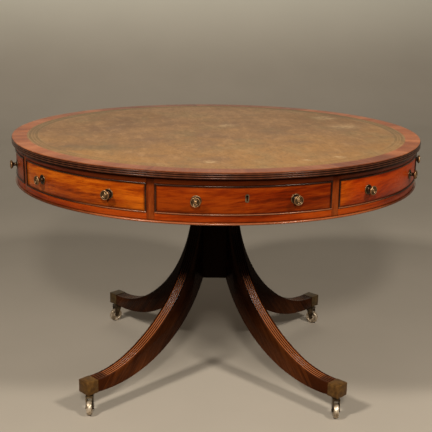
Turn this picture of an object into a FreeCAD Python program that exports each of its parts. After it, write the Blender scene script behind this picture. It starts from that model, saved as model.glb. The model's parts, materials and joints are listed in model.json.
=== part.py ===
"""Round drum table: revolving drum with four drawers on a four-legged pedestal with castors.

Millimetres, +Z up. The origin is on the floor under the middle of the table. The drum is square to
the frame, with drawer 1 facing -Y, and the pedestal stands a little turned under it.
"""
import FreeCAD, Part
import math
import os
from types import SimpleNamespace

import Sketcher

FULL_TURN = 360
QUARTER_TURN = 90
PANELS = 8
DRAWERS = 4
PANEL_PITCH = FULL_TURN / PANELS
DRAWER_PITCH = FULL_TURN / DRAWERS
LEG_PITCH = QUARTER_TURN
EDGE_REEDS = 3
LEG_REEDS = 4
DRAWER_TAILS = 2
NUT_SIDES = 6
EYE_BOW_SHARE = 1.05

# Lengths of the table, in millimetres
DIMENSIONS = {
    # whole table
    "table_height": "762",
    "glue_line": "0.1",
    "overrun": "5",
    # top
    "top_radius": "605",
    "edge_height": "17.5",
    "edge_width": "24",
    "edge_reed_depth": "1.9",
    "crossband_width": "42",
    "veneer_thickness": "2",
    "leather_thickness": "1.7",
    "leather_gap": "0.3",
    # frieze
    "frieze_overhang": "11",
    "frieze_height": "113",
    "upper_rail_height": "16",
    "lower_rail_height": "23",
    "rail_depth": "45",
    "ledge_width": "8",
    "ledge_height": "6.5",
    "bottom_thickness": "12",
    "base_bead_height": "5.5",
    "base_bead_width": "3",
    "base_bead_round": "2.2",
    "stile_width": "20",
    "stile_depth": "22",
    # fronts and their cock beading
    "front_thickness": "24",
    "front_gap": "0.8",
    "beading_thickness": "3.5",
    "beading_depth": "12",
    "beading_reach": "2.6",
    "beading_nose": "1.2",
    # ribs and drawer guides
    "rib_thickness": "14",
    "slide_gap": "1",
    "back_gap": "3",
    "runner_width": "22",
    "runner_gap": "0.2",
    "kicker_gap": "0.8",
    "stop_length": "30",
    "stop_width": "12",
    "stop_height": "7",
    "stop_offset": "90",
    "stop_gap": "0.4",
    # drawer boxes
    "side_thickness": "10",
    "side_inset": "1",
    "side_drop": "14",
    "back_thickness": "9",
    "tray_thickness": "6",
    "tray_rise": "8",
    "groove_depth": "5",
    "tail_length": "14",
    "tail_root": "14",
    "tail_end": "20",
    # knobs
    "knob_drop": "37.5",
    "knob_reach": "19.5",
    "rose_radius": "13",
    "rose_thickness": "2.5",
    "rose_step": "2",
    "knob_neck_radius": "4.6",
    "knob_head_radius": "12.2",
    "knob_head_thickness": "8",
    "knob_rim_thickness": "3",
    "knob_back_bow": "9",
    "knob_ring_radius": "8.6",
    "knob_ring_step": "1.2",
    "knob_button_radius": "4",
    "stem_radius": "2.5",
    "stem_tail": "2",
    "nut_radius": "5.5",
    "nut_thickness": "4",
    # locks
    "lock_width": "60",
    "lock_height": "40",
    "lock_depth": "11.5",
    "lock_proud": "1.5",
    "lock_wall": "2",
    "bolt_width": "22",
    "bolt_thickness": "6",
    "bolt_height": "24",
    "bolt_gap": "0.2",
    "bolt_room": "10",
    "bolt_notch_radius": "4",
    "mortise_gap": "1",
    "mortise_depth": "9",
    "keyhole_drop": "31.5",
    "keyhole_radius": "3",
    "keyhole_slot_width": "3.8",
    "keyhole_slot_length": "11.5",
    "escutcheon_width": "9.5",
    "escutcheon_height": "21.5",
    "escutcheon_thickness": "2",
    "escutcheon_proud": "0.3",
    "escutcheon_end_rise": "4.4",
    # screws that hold the top
    "screw_radius": "2.3",
    "screw_head_radius": "4.6",
    "screw_head_thickness": "3",
    "screw_sink": "2",
    "screw_bite": "10",
    "screw_inset": "10",
    # pedestal
    "block_width": "128",
    "block_bottom": "312",
    "leg_seat": "50",
    "key_depth": "11",
    "key_neck": "14",
    "key_width": "20",
    "tenon_radius": "38",
    "tenon_drop": "0.5",
    "bearer_radius": "170",
    "bearer_thickness": "38",
    "bearer_chamfer": "8",
    "spindle_radius": "14",
    "spindle_sink": "60",
    "spindle_rise": "24",
    "spindle_gap": "0.08",
    "spindle_nut_radius": "32",
    "spindle_nut_height": "14",
    "spindle_nut_gap": "0.3",
    # legs
    "leg_width": "41",
    "leg_top_depth": "30",
    "foot_radius": "280",
    "foot_straight": "12",
    "under_radius": "403",
    "leg_reed_width": "8",
    "leg_reed_depth": "2.4",
    # castors
    "castor_spread": "495",
    "cap_lift": "66.5",
    "cap_length": "36",
    "cap_beyond": "22",
    "cap_width": "43",
    "cap_height": "38",
    "cap_wall": "2",
    "cap_floor": "4",
    "cap_proud": "1",
    "trail": "12",
    "wheel_radius": "22.5",
    "wheel_width": "13.5",
    "wheel_edge_drop": "2",
    "wheel_rim": "4",
    "wheel_dish": "2",
    "hub_radius": "7",
    "axle_radius": "3",
    "axle_gap": "0.05",
    "axle_head_radius": "4.4",
    "axle_head_thickness": "1.5",
    "cheek_thickness": "3.2",
    "cheek_gap": "0.4",
    "eye_radius": "6.5",
    "crown_height": "7",
    "collar_radius": "9.5",
    "collar_height": "6",
    "collar_gap": "0.3",
    "pin_radius": "4",
    "pin_gap": "0.06",
    "pin_head_radius": "7",
    "pin_head_thickness": "3",
    "pin_head_room": "2",
    "pin_head_clearance": "0.5",
}

# Angles of the table, in degrees
ANGLES = {
    "base_turn": "-7.3",
    "knob_angle": "11.7",
    "foot_angle": "64",
}
NAMED_SIZES = {**DIMENSIONS, **ANGLES}

# Direction of each leg and the way that its castor trails, in degrees from the pedestal's own +X
LEGS = {
    "front_left": (225, -90),
    "front_right": (315, -90),
    "back_right": (45, -35),
    "back_left": (135, 215),
}

doc = FreeCAD.newDocument("drum_table")
sheet = doc.addObject("Spreadsheet::Sheet", "Sizes")
for row, (alias, text) in enumerate(NAMED_SIZES.items(), start=1):
    sheet.set(f"A{row}", alias)
    sheet.set(f"B{row}", text)
    sheet.setAlias(f"B{row}", alias)
doc.recompute()


class Size:
    """A size: its value now, and the formula that ties it to the sheet."""

    def __init__(self, value, formula):
        self.value = float(value)
        self.formula = formula

    def __add__(self, other):
        other = as_size(other)
        return Size(self.value + other.value, f"({self.formula} + {other.formula})")

    def __radd__(self, other):
        return as_size(other) + self

    def __sub__(self, other):
        other = as_size(other)
        return Size(self.value - other.value, f"({self.formula} - {other.formula})")

    def __rsub__(self, other):
        return as_size(other) - self

    def __mul__(self, other):
        other = as_size(other)
        return Size(self.value * other.value, f"({self.formula} * {other.formula})")

    def __rmul__(self, other):
        return as_size(other) * self

    def __truediv__(self, other):
        other = as_size(other)
        return Size(self.value / other.value, f"({self.formula} / {other.formula})")

    def __neg__(self):
        return Size(-self.value, f"(-{self.formula})")


def as_size(number):
    return number if isinstance(number, Size) else Size(number, repr(number))


def root(size):
    return Size(math.sqrt(size.value), f"sqrt({size.formula})")


def sine(angle):
    angle = as_size(angle)
    return Size(math.sin(math.radians(angle.value)), f"sin({angle.formula})")


def cosine(angle):
    angle = as_size(angle)
    return Size(math.cos(math.radians(angle.value)), f"cos({angle.formula})")


def arcsine(share):
    return Size(math.degrees(math.asin(share.value)), f"(asin({share.formula}) / 1 deg)")


def across(radius, offset):
    """Distance along X at which a circle of this radius is offset from the X axis."""
    return root(radius * radius - offset * offset)


def bow_radius(chord, rise):
    """Radius of the arc that rises this far over its chord."""
    return (chord * chord / 4 + rise * rise) / (2 * rise)


d = SimpleNamespace(**{alias: Size(sheet.get(alias), f"Sizes.{alias}") for alias in NAMED_SIZES})
ZERO = as_size(0)


# Modelling helpers

def bind(item, prop, size):
    item.setExpression(prop, as_size(size).formula)


def block(name, low, high):
    """Straight board between two opposite corners."""
    box = doc.addObject("Part::Box", name)
    for axis, prop in enumerate(("Length", "Width", "Height")):
        bind(box, prop, as_size(high[axis]) - low[axis])
        bind(box, f"Placement.Base.{'xyz'[axis]}", low[axis])
    return box


def rod(name, radius, bottom, top, x=ZERO):
    """Upright round rod."""
    cylinder = doc.addObject("Part::Cylinder", name)
    bind(cylinder, "Radius", radius)
    bind(cylinder, "Height", as_size(top) - bottom)
    bind(cylinder, "Placement.Base.x", x)
    bind(cylinder, "Placement.Base.z", bottom)
    return cylinder


def lying_rod(name, radius, axis, start, end, place):
    """Round rod along X or Y, from start to end, through the point place."""
    cylinder = doc.addObject("Part::Cylinder", name)
    bind(cylinder, "Radius", radius)
    bind(cylinder, "Height", as_size(end) - start)
    tilts = {"x": (FreeCAD.Vector(0, 1, 0), QUARTER_TURN), "y": (FreeCAD.Vector(1, 0, 0), -QUARTER_TURN)}
    turning = FreeCAD.Rotation(*tilts[axis])
    cylinder.Placement = FreeCAD.Placement(FreeCAD.Vector(), turning)
    for letter, size in zip("xyz", place):
        bind(cylinder, f"Placement.Base.{letter}", start if letter == axis else size)
    return cylinder


def placed(name, pieces, turn=0, shift=(ZERO, ZERO, ZERO)):
    """The pieces as one group, turned about Z and shifted."""
    group = doc.addObject("Part::Compound", name)
    group.Links = pieces
    group.Placement = FreeCAD.Placement(FreeCAD.Vector(), FreeCAD.Rotation(FreeCAD.Vector(0, 0, 1), 0))
    bind(group, "Placement.Rotation.Angle", turn)
    for letter, size in zip("xyz", shift):
        bind(group, f"Placement.Base.{letter}", size)
    return group


def fused(name, pieces):
    joined = doc.addObject("Part::MultiFuse", name)
    joined.Shapes = pieces
    return joined


def cut(name, base, tools):
    result = doc.addObject("Part::Cut", name)
    result.Base = base
    result.Tool = tools[0] if len(tools) == 1 else fused(f"{name}_tools", tools)
    return result


def common(name, first, second):
    result = doc.addObject("Part::Common", name)
    result.Base = first
    result.Tool = second
    return result


def arc_middle(start, end, radius, side):
    """Middle of an arc that bulges to the left (1) or right (-1) on its way from start to end."""
    chord = end - start
    rise = radius - math.sqrt(radius ** 2 - chord.Length ** 2 / 4)
    left = FreeCAD.Vector(-chord.y, chord.x, 0).normalize()
    return (start + end) / 2 + left * rise * side


def draw(sketch, corners, closed=True):
    """Draw an outline of corners (x, y) or (x, y, radius, side), the last two for an arc from there."""
    count = len(corners)
    points = [FreeCAD.Vector(as_size(c[0]).value, as_size(c[1]).value, 0) for c in corners]
    ends = []
    for index in range(count if closed else count - 1):
        corner, start, end = corners[index], points[index], points[(index + 1) % count]
        if len(corner) == 2:
            edge = sketch.addGeometry(Part.LineSegment(start, end), False)
            ends.append((edge, 1, 2))
            continue
        radius, side = corner[2:]
        middle = arc_middle(start, end, radius.value, side)
        if side < 0:
            edge = sketch.addGeometry(Part.Arc(start, middle, end), False)
            ends.append((edge, 1, 2))
        else:
            edge = sketch.addGeometry(Part.Arc(end, middle, start), False)
            ends.append((edge, 2, 1))
        tie(sketch, Sketcher.Constraint("Radius", edge, radius.value), radius)
    for index, (edge, first, last) in enumerate(ends):
        fix(sketch, edge, first, corners[index])
        if closed or index + 1 < len(ends):
            following = ends[(index + 1) % len(ends)]
            sketch.addConstraint(Sketcher.Constraint("Coincident", edge, last, following[0], following[1]))
        else:
            fix(sketch, edge, last, corners[-1])


def tie(sketch, constraint, size):
    number = sketch.addConstraint(constraint)
    bind(sketch, f"Constraints[{number}]", size)


def fix(sketch, edge, end, corner):
    for kind, size in zip(("DistanceX", "DistanceY"), corner):
        size = as_size(size)
        tie(sketch, Sketcher.Constraint(kind, -1, 1, edge, end, size.value), size)


def new_sketch(body, name, plane, offset=ZERO):
    sketch = body.newObject("Sketcher::SketchObject", name)
    support = next(item for item in body.Origin.OriginFeatures if item.Role == plane)
    sketch.AttachmentSupport = [(support, "")]
    sketch.MapMode = "FlatFace"
    bind(sketch, "AttachmentOffset.Base.z", offset)
    return sketch


def turned(name, outline, sweep=None, plane="XZ_Plane", axis="V_Axis"):
    """Outline turned about an axis: all the way, or by an angle shared to both sides of +X."""
    body = doc.addObject("PartDesign::Body", name)
    sketch = new_sketch(body, f"{name}_outline", plane)
    draw(sketch, outline)
    turning = body.newObject("PartDesign::Revolution", f"{name}_turning")
    turning.Profile = sketch
    turning.ReferenceAxis = (sketch, [axis])
    if sweep is not None:
        turning.Midplane = True
        bind(turning, "Angle", sweep)
    return body


def prism(name, outline, start, end, plane="XY_Plane"):
    """Outline padded along the normal of its plane, from start to end."""
    body = doc.addObject("PartDesign::Body", name)
    sketch = new_sketch(body, f"{name}_outline", plane, start)
    draw(sketch, outline)
    pad = body.newObject("PartDesign::Pad", f"{name}_pad")
    pad.Profile = sketch
    bind(pad, "Length", as_size(end) - start)
    return body


def plate(name, outline, thickness):
    """Upright plate in the XZ plane, half its thickness to each side."""
    body = doc.addObject("PartDesign::Body", name)
    sketch = new_sketch(body, f"{name}_outline", "XZ_Plane")
    draw(sketch, outline)
    pad = body.newObject("PartDesign::Pad", f"{name}_pad")
    pad.Profile = sketch
    pad.SideType = "Symmetric"
    bind(pad, "Length", thickness)
    return body


def ring(name, inner, outer, bottom, top):
    return turned(name, [(inner, bottom), (outer, bottom), (outer, top), (inner, top)])


NODES = []


def node(item, name):
    item.Label = name
    NODES.append(item)


def drawer_turn(index):
    """Turn that takes +X to the outward direction of a drawer, drawer 1 facing -Y."""
    return index * DRAWER_PITCH - DRAWER_PITCH


# Levels and radii that several pieces share

top_under = d.table_height - d.edge_height
drum_under = top_under - d.frieze_height
panel_low = drum_under + d.lower_rail_height
panel_high = top_under - d.upper_rail_height
board_under = drum_under + d.ledge_height
board_top = board_under + d.bottom_thickness
ground_top = d.table_height - d.veneer_thickness
edge_inner = d.top_radius - d.edge_width
veneer_radius = d.top_radius - d.edge_reed_depth
leather_radius = veneer_radius - d.crossband_width
frieze_radius = d.top_radius - d.frieze_overhang
rail_inner = frieze_radius - d.rail_depth
front_inner = frieze_radius - d.front_thickness
block_top = board_under - d.bearer_thickness
block_corner = d.block_width / root(as_size(2))
cap_end = d.castor_spread + d.cap_beyond
cap_start = cap_end - d.cap_length
cap_top = d.cap_lift + d.cap_height


def end_angle(gap):
    """Half angle of a panel with its beading, this gap from the stiles."""
    return PANEL_PITCH / 2 - arcsine((d.stile_width / 2 + gap) / front_inner)


def field_angle(gap):
    """Half angle of the front inside its beading."""
    return end_angle(gap) - arcsine(d.beading_thickness / frieze_radius)


def field_bottom(gap):
    return panel_low + gap + d.beading_thickness


def field_top(gap):
    return panel_high - gap - d.beading_thickness


drawer_half = front_inner * sine(field_angle(d.front_gap)) - d.side_inset
rib_inner = drawer_half + d.slide_gap
rib_outer = rib_inner + d.rib_thickness
drawer_back = rib_outer + d.back_gap
side_bottom = panel_low + d.front_gap
side_top = panel_high - d.side_drop
knob_level = panel_high - d.knob_drop
keyhole_level = panel_high - d.keyhole_drop
lock_inner = front_inner - d.lock_proud
bolt_inner = lock_inner + d.lock_wall + d.bolt_gap
bolt_outer = bolt_inner + d.bolt_thickness
lock_top = field_top(d.front_gap)


# Top

def screw_rods(name, clear):
    """Head and shank of one screw of the top, on the +X axis, this much larger than the screw."""
    ring_radius = rail_inner + d.screw_inset
    head_bottom = panel_high + d.screw_sink
    head_top = head_bottom + d.screw_head_thickness
    bore_bottom = head_bottom if clear is ZERO else panel_high - d.overrun
    tip = top_under + d.screw_bite + clear
    head = rod(f"{name}_head", d.screw_head_radius + clear, bore_bottom, head_top + clear, ring_radius)
    shank = rod(f"{name}_shank", d.screw_radius + clear, head_bottom, tip, ring_radius)
    return fused(name, [head, shank])


def around(name, piece, count, first=0):
    """Copies of a piece round the table, as one group."""
    copies = [placed(f"{name}_{i}", [piece], first + i * FULL_TURN / count) for i in range(count)]
    return placed(name, copies)


screw_holes = around("screw_holes", screw_rods("screw_hole", d.glue_line), PANELS)


def make_top():
    board = ring("board_disc", ZERO, edge_inner - d.glue_line, top_under, ground_top)
    node(cut("board", board, [screw_holes]), "top_board")

    reed_height = (ground_top - top_under) / EDGE_REEDS
    reed_radius = bow_radius(reed_height, d.edge_reed_depth)
    reeds = [(veneer_radius, top_under + reed_height * i, reed_radius, -1) for i in range(EDGE_REEDS)]
    outline = [(edge_inner, top_under)] + reeds + [(veneer_radius, ground_top), (edge_inner, ground_top)]
    node(turned("edge", outline), "reeded_edge")

    node(ring("band", leather_radius, veneer_radius, ground_top, d.table_height), "crossband")
    leather_top = ground_top + d.leather_thickness
    node(ring("hide", ZERO, leather_radius - d.leather_gap, ground_top, leather_top), "leather")
    node(around("screws", screw_rods("screw", ZERO), PANELS), "top_screws")


# Frieze and carcass of the drum

def make_frieze():
    half = d.stile_width / 2
    first_stile = PANEL_PITCH / 2
    housing_low = (frieze_radius - d.stile_depth, -half, drum_under - d.overrun)
    housing_high = (frieze_radius + d.overrun, half, top_under + d.overrun)
    housings = around("housings", block("housing", housing_low, housing_high), PANELS, first_stile)

    mortise_half = d.bolt_width / 2 + d.mortise_gap
    mortise_low = (bolt_inner - d.mortise_gap, -mortise_half, panel_high - d.overrun)
    mortise_high = (bolt_outer + d.mortise_gap, mortise_half, panel_high + d.mortise_depth)
    mortises = around("mortises", block("mortise", mortise_low, mortise_high), DRAWERS)

    upper = ring("upper_ring", rail_inner, frieze_radius, panel_high, top_under)
    node(cut("upper", upper, [housings, mortises, screw_holes]), "upper_rail")

    ledge_inner = rail_inner - d.ledge_width
    lower = turned("lower_ring", [
        (ledge_inner, drum_under), (frieze_radius, drum_under), (frieze_radius, panel_low),
        (rail_inner, panel_low), (rail_inner, board_under), (ledge_inner, board_under)])
    node(cut("lower", lower, [housings]), "lower_rail")

    seat = frieze_radius + d.glue_line
    bead_top = drum_under + d.base_bead_height
    bow = bow_radius(d.base_bead_height, d.base_bead_round)
    node(turned("bead", [
        (seat, drum_under), (seat + d.base_bead_width, drum_under, bow, -1),
        (seat + d.base_bead_width, bead_top), (seat, bead_top)]), "base_bead")

    post = block("post", (frieze_radius - d.stile_depth, -half, drum_under),
                 (frieze_radius + d.overrun, half, top_under))
    posts = around("posts", post, PANELS, first_stile)
    node(common("posts_round", posts, rod("frieze_drum", frieze_radius, drum_under, top_under)), "stiles")

    bore = d.spindle_radius + d.spindle_gap
    node(ring("floor", bore, rail_inner - d.glue_line, board_under, board_top), "drum_bottom")


def rib(name, inside, notch_bottom, notch_top):
    """Board across the drum beside two opposite drawers, notched to cross the other pair."""
    board = common(f"{name}_board", block(
        f"{name}_plank", (-rail_inner, rib_inner, board_top), (rail_inner, rib_outer, top_under)), inside)
    notches = [block(f"{name}_notch_{i}", (low, rib_inner - d.overrun, notch_bottom),
                     (low + d.rib_thickness, rib_outer + d.overrun, notch_top))
               for i, low in enumerate((rib_inner, -rib_outer))]
    return cut(name, board, notches)


def make_carcass():
    inside = rod("drum_inside", rail_inner - d.glue_line, board_under, top_under)
    middle = (board_top + top_under) / 2
    long_rib = rib("long_rib", inside, middle, top_under + d.overrun)
    cross_rib = rib("cross_rib", inside, board_top - d.overrun, middle)
    ribs = [long_rib, cross_rib, long_rib, cross_rib]
    crossing = [placed(f"rib_{i}", [piece], i * DRAWER_PITCH) for i, piece in enumerate(ribs)]
    node(placed("rib_group", crossing), "ribs")

    guides = []
    for side, (near, far) in {"left": (rib_inner - d.runner_width, rib_inner),
                              "right": (-rib_inner, d.runner_width - rib_inner)}.items():
        for kind, (bottom, top) in {"runner": (board_top, side_bottom - d.runner_gap),
                                    "kicker": (side_top + d.kicker_gap, top_under)}.items():
            strip = block(f"{side}_{kind}_strip", (rib_outer, near, bottom), (rail_inner, far, top))
            guides.append(common(f"{side}_{kind}", strip, inside))
    node(around("guides", placed("guide_set", guides), DRAWERS), "drawer_guides")

    stop_face = across(front_inner, d.stop_offset + d.stop_length / 2) - d.stop_gap
    stops = []
    for name, middle_y in (("left_stop", d.stop_offset), ("right_stop", -d.stop_offset)):
        low = (stop_face - d.stop_width, middle_y - d.stop_length / 2, panel_low)
        stops.append(block(name, low, (stop_face, middle_y + d.stop_length / 2, panel_low + d.stop_height)))
    node(around("stops", placed("stop_pair", stops), DRAWERS), "drawer_stops")


# Fronts, cock beading and knobs

def front_panel(name, gap):
    """Bowed front on the +X axis, without its beading."""
    bottom, top = field_bottom(gap), field_top(gap)
    outline = [(front_inner, bottom), (frieze_radius, bottom), (frieze_radius, top), (front_inner, top)]
    return turned(name, outline, 2 * field_angle(gap))


def beading(name, gap):
    """Four strips of rounded beading round one front."""
    inner = frieze_radius - d.beading_depth
    outer = frieze_radius + d.beading_reach - d.beading_nose
    nose = bow_radius(d.beading_thickness, d.beading_nose)
    bottom, top = field_bottom(gap), field_top(gap)
    strips = []
    for label, low in (("lower", bottom - d.beading_thickness), ("upper", top)):
        high = low + d.beading_thickness
        outline = [(inner, low), (outer, low, nose, -1), (outer, high), (inner, high)]
        strips.append(turned(f"{name}_{label}", outline, 2 * end_angle(gap)))
    for label, low, angle in (("left", ZERO, field_angle(gap)),
                              ("right", -d.beading_thickness, -field_angle(gap))):
        high = low + d.beading_thickness
        outline = [(inner, low), (outer, low, nose, -1), (outer, high), (inner, high)]
        strip = prism(f"{name}_{label}_strip", outline, bottom, top)
        strips.append(placed(f"{name}_{label}", [strip], angle))
    return placed(name, strips)


def knob():
    """Turned knob on the X axis with its screwed stem, and its nut behind the front."""
    face = frieze_radius + d.knob_reach
    head_back = face - d.knob_head_thickness
    rim_back = face - d.knob_rim_thickness
    rose_face = frieze_radius + d.rose_thickness
    step = d.knob_ring_step
    nut_face = front_inner - d.glue_line
    stem_end = nut_face - d.nut_thickness - d.stem_tail
    outline = [
        (stem_end, ZERO), (face - step, ZERO), (face - step, d.knob_button_radius),
        (face - 2 * step, d.knob_button_radius + step), (face - 2 * step, d.knob_ring_radius),
        (face, d.knob_ring_radius + step), (face, d.knob_head_radius - step),
        (face - step, d.knob_head_radius), (rim_back, d.knob_head_radius, d.knob_back_bow, -1),
        (head_back, d.knob_neck_radius), (rose_face + d.rose_step, d.knob_neck_radius),
        (rose_face, d.rose_radius), (frieze_radius, d.rose_radius), (frieze_radius, d.stem_radius),
        (stem_end, d.stem_radius)]
    body = turned("knob", outline, axis="H_Axis")
    bore = d.stem_radius + d.glue_line
    nut = turned("knob_nut", [
        (nut_face - d.nut_thickness, bore), (nut_face, bore),
        (nut_face, d.nut_radius), (nut_face - d.nut_thickness, d.nut_radius)], axis="H_Axis")
    level = (ZERO, ZERO, knob_level)
    angles = (d.knob_angle, -d.knob_angle)
    return placed("knob_pair", [placed(f"knob_{i}", [body, nut], angle, level)
                                for i, angle in enumerate(angles)])


def knob_holes():
    bore = lying_rod("knob_bore", d.stem_radius + d.glue_line, "x", front_inner - d.overrun,
                     frieze_radius + d.overrun, (ZERO, ZERO, knob_level))
    return [placed(f"knob_hole_{i}", [bore], angle) for i, angle in enumerate((d.knob_angle, -d.knob_angle))]


# Lock

def rounded_plate(name, clear, back, front):
    """Upright plate with round ends that the keyhole is cut in, this much larger all round."""
    half = d.escutcheon_width / 2 + clear
    reach = d.escutcheon_height / 2 - d.escutcheon_width / 2
    bow = bow_radius(2 * half, d.escutcheon_end_rise + clear)
    outline = [
        (-half, keyhole_level - reach, bow, -1), (half, keyhole_level - reach),
        (half, keyhole_level + reach, bow, -1), (-half, keyhole_level + reach)]
    return prism(name, outline, back, front, plane="YZ_Plane")


def keyhole(name):
    """Round hole with a slot below, from the lock to outside the front."""
    start, end = bolt_outer, frieze_radius + d.overrun
    centre = keyhole_level + (d.keyhole_slot_length - d.keyhole_radius) / 2
    hole = lying_rod(f"{name}_round", d.keyhole_radius, "x", start, end, (ZERO, ZERO, centre))
    half = d.keyhole_slot_width / 2
    slot = block(f"{name}_slot", (start, -half, centre - d.keyhole_slot_length), (end, half, centre))
    return fused(name, [hole, slot])


def lock_case(name, clear):
    half = d.lock_width / 2 + clear
    low = (lock_inner - clear, -half, lock_top - d.lock_height - clear)
    return block(name, low, (lock_inner + d.lock_depth + clear, half, lock_top + clear))


def lock(way):
    """Lock case with the slot that its bolt slides in, and the keyhole plate outside."""
    half = d.bolt_width / 2 + d.bolt_gap
    slot = block("bolt_slot", (bolt_inner - d.bolt_gap, -half, lock_top - d.bolt_height - d.bolt_room),
                 (bolt_outer + d.bolt_gap, half, lock_top + d.overrun))
    case = cut("lock_case", lock_case("lock_block", ZERO), [slot, way])
    plate_back = frieze_radius - d.escutcheon_thickness
    escutcheon = rounded_plate("escutcheon_blank", ZERO, plate_back, frieze_radius + d.escutcheon_proud)
    return placed("lock", [case, cut("escutcheon", escutcheon, [way])])


def lock_bolt():
    half = d.bolt_width / 2
    bottom = lock_top - d.bolt_height
    bar = block("bolt_bar", (bolt_inner, -half, bottom), (bolt_outer, half, lock_top))
    notch = lying_rod("bolt_notch", d.bolt_notch_radius, "x", bolt_inner - d.overrun, bolt_outer + d.overrun,
                      (ZERO, ZERO, bottom))
    return cut("bolt", bar, [notch])


# Drawer box

def tail(name, level, shoulder, tip, inward):
    """One dovetail of a drawer side in the XZ plane, from inside the side out to its tip."""
    start = shoulder + d.overrun * inward
    root_half, end_half = d.tail_root / 2, d.tail_end / 2
    outline = [(start, level - root_half), (shoulder, level - root_half), (tip, level - end_half),
               (tip, level + end_half), (shoulder, level + root_half), (start, level + root_half)]
    return plate(name, outline, d.side_thickness)


def tray(name, clear):
    """Bottom of the drawer in its grooves, or the space of the grooves when clear is zero."""
    half = drawer_half - d.side_thickness + d.groove_depth - clear
    low = side_bottom + d.tray_rise
    sheet_box = block(f"{name}_sheet", (drawer_back, -half, low + clear),
                      (frieze_radius, half, low + d.tray_thickness - clear))
    edge = rod(f"{name}_edge", front_inner + d.groove_depth - clear, low - d.overrun, side_top)
    return common(name, sheet_box, edge)


def drawer_side(name, y_inner, groove, front_back):
    """Side with two dovetails into the front and two into the back."""
    y_outer = y_inner + d.side_thickness
    back_shoulder = drawer_back + d.back_thickness
    plank = block(f"{name}_plank", (back_shoulder, y_inner, side_bottom), (frieze_radius, y_outer, side_top))
    board = common(f"{name}_board", plank, front_back)
    front_shoulder = across(front_inner, drawer_half)
    front_tip = across(front_inner + d.tail_length, drawer_half)
    height = side_top - side_bottom
    shift = (ZERO, (y_inner + y_outer) / 2, ZERO)
    pieces = [board]
    for i in range(DRAWER_TAILS):
        level = side_bottom + height * (2 * i + 1) / (2 * DRAWER_TAILS)
        pair = [tail(f"{name}_front_tail_{i}", level, front_shoulder, front_tip, -1),
                tail(f"{name}_back_tail_{i}", level, back_shoulder, drawer_back, 1)]
        pieces += [placed(f"{item.Name}_set", [item], 0, shift) for item in pair]
    return cut(name, fused(f"{name}_whole", pieces), [groove])


def drawer_pieces():
    """Front, box, beading, knobs, lock and bolt of one drawer on the +X axis."""
    groove = tray("tray_groove", ZERO)
    front_back = rod("front_back", front_inner, panel_low - d.overrun, panel_high)
    sides = [drawer_side("left_side", drawer_half - d.side_thickness, groove, front_back),
             drawer_side("right_side", -drawer_half, groove, front_back)]
    back_bottom = side_bottom + d.tray_rise + d.tray_thickness
    back_board = block("back_board", (drawer_back, -drawer_half, back_bottom),
                       (drawer_back + d.back_thickness, drawer_half, side_top))
    box = placed("box", sides + [cut("back", back_board, sides), tray("tray", d.glue_line)])

    way = keyhole("keyway")
    recess = rounded_plate("escutcheon_recess", d.glue_line, frieze_radius - d.escutcheon_thickness,
                           frieze_radius + d.overrun)
    lock_room = fused("lock_room", [lock_case("lock_pocket", d.glue_line), way, recess])
    blank = front_panel("drawer_front_blank", d.front_gap)
    front = cut("drawer_front", blank, sides + [groove, lock_room] + knob_holes())
    return {
        "front": front,
        "box": box,
        "beading": beading("drawer_beading", d.front_gap),
        "knobs": knob(),
        "lock": lock(way),
        "lock_bolt": lock_bolt(),
    }


def make_drawers():
    pieces = drawer_pieces()
    for index in range(DRAWERS):
        for kind, piece in pieces.items():
            name = f"drawer_{index + 1}_{kind}"
            node(placed(name, [piece], drawer_turn(index)), name)

    first_dummy = PANEL_PITCH
    dummy = cut("dummy_front", front_panel("dummy_blank", ZERO), knob_holes())
    node(around("dummies", dummy, DRAWERS, first_dummy), "dummy_fronts")
    node(around("dummy_strips", beading("dummy_bead", ZERO), DRAWERS, first_dummy), "dummy_beading")
    node(around("dummy_pulls", pieces["knobs"], DRAWERS, first_dummy), "dummy_knobs")


# Pedestal

def leg_key(name, start):
    """Dovetail key on the inner edge of a leg, from start out to its wide end."""
    wide, neck = d.key_width / 2, d.key_neck / 2
    end = d.leg_seat - d.key_depth
    outline = [(end, -wide), (d.leg_seat, -neck), (start, -neck),
               (start, neck), (d.leg_seat, neck), (end, wide)]
    return prism(name, outline, d.block_bottom, block_top)


def leg_curve():
    """Points of the upper edge of a leg: foot, knee, join of the two arcs and top, and the arcs' radii."""
    foot_top = cap_top - d.cap_proud
    knee = cap_start - d.foot_straight
    centre = foot_top + d.foot_radius
    across_share, up_share = cosine(d.foot_angle), sine(d.foot_angle)
    join = (knee - d.foot_radius * across_share, centre - d.foot_radius * up_share)
    top = d.leg_seat + d.leg_top_depth
    east, north = top - knee, block_top - centre
    reach = east * east + north * north - d.foot_radius * d.foot_radius
    extra = reach / (2 * (d.foot_radius + east * across_share + north * up_share))
    sweep_radius = d.foot_radius + extra
    sweep_centre = (knee + extra * across_share, centre + extra * up_share)
    return foot_top, knee, join, top, sweep_radius, sweep_centre


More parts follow.
